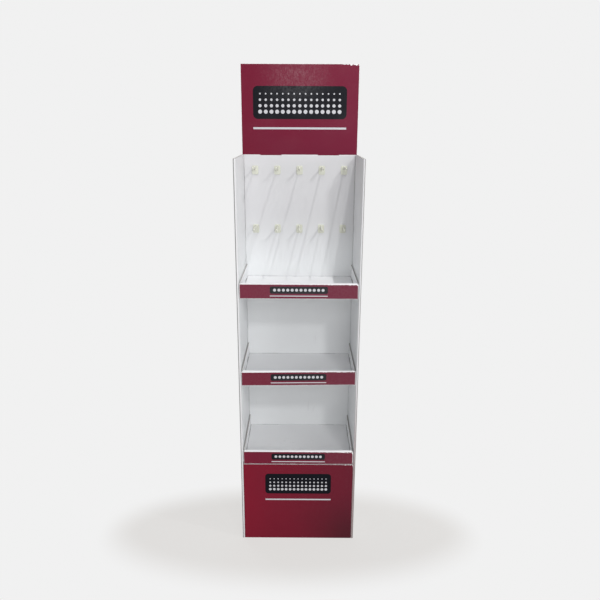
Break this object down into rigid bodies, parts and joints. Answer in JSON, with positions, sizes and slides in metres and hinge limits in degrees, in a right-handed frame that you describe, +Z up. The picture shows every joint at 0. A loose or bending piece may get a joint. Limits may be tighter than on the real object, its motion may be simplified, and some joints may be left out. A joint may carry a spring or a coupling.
{
  "type": "cardboard display stand",
  "caption": "Slim free-standing card display stand with a printed header, a bay of plastic hooks, tray shelves with printed lips and a printed plinth front.",
  "frame": {"origin": "on the floor, under the middle of the stand's box", "axes": "+Z up, the open front faces -Y, +X to the right of someone facing the front"},
  "size_m": [0.4, 0.282, 1.637],
  "materials": {
    "white_card": "white coated board, matt",
    "crimson_print": "printed board, satin",
    "hook_plastic": "natural moulded plastic"
  },
  "bodies": {
    "root": {"body_wrap": "white_card", "header_card": "crimson_print", "base_front": "crimson_print", "upper_shelf": "white_card", "upper_strip": "crimson_print", "middle_shelf": "white_card", "middle_strip": "crimson_print", "lower_shelf": "white_card", "lower_strip": "crimson_print", "top_hook_1": "hook_plastic", "top_hook_2": "hook_plastic", "top_hook_3": "hook_plastic", "top_hook_4": "hook_plastic", "top_hook_5": "hook_plastic", "low_hook_1": "hook_plastic", "low_hook_2": "hook_plastic", "low_hook_3": "hook_plastic", "low_hook_4": "hook_plastic", "low_hook_5": "hook_plastic"}
  },
  "joints": []
}
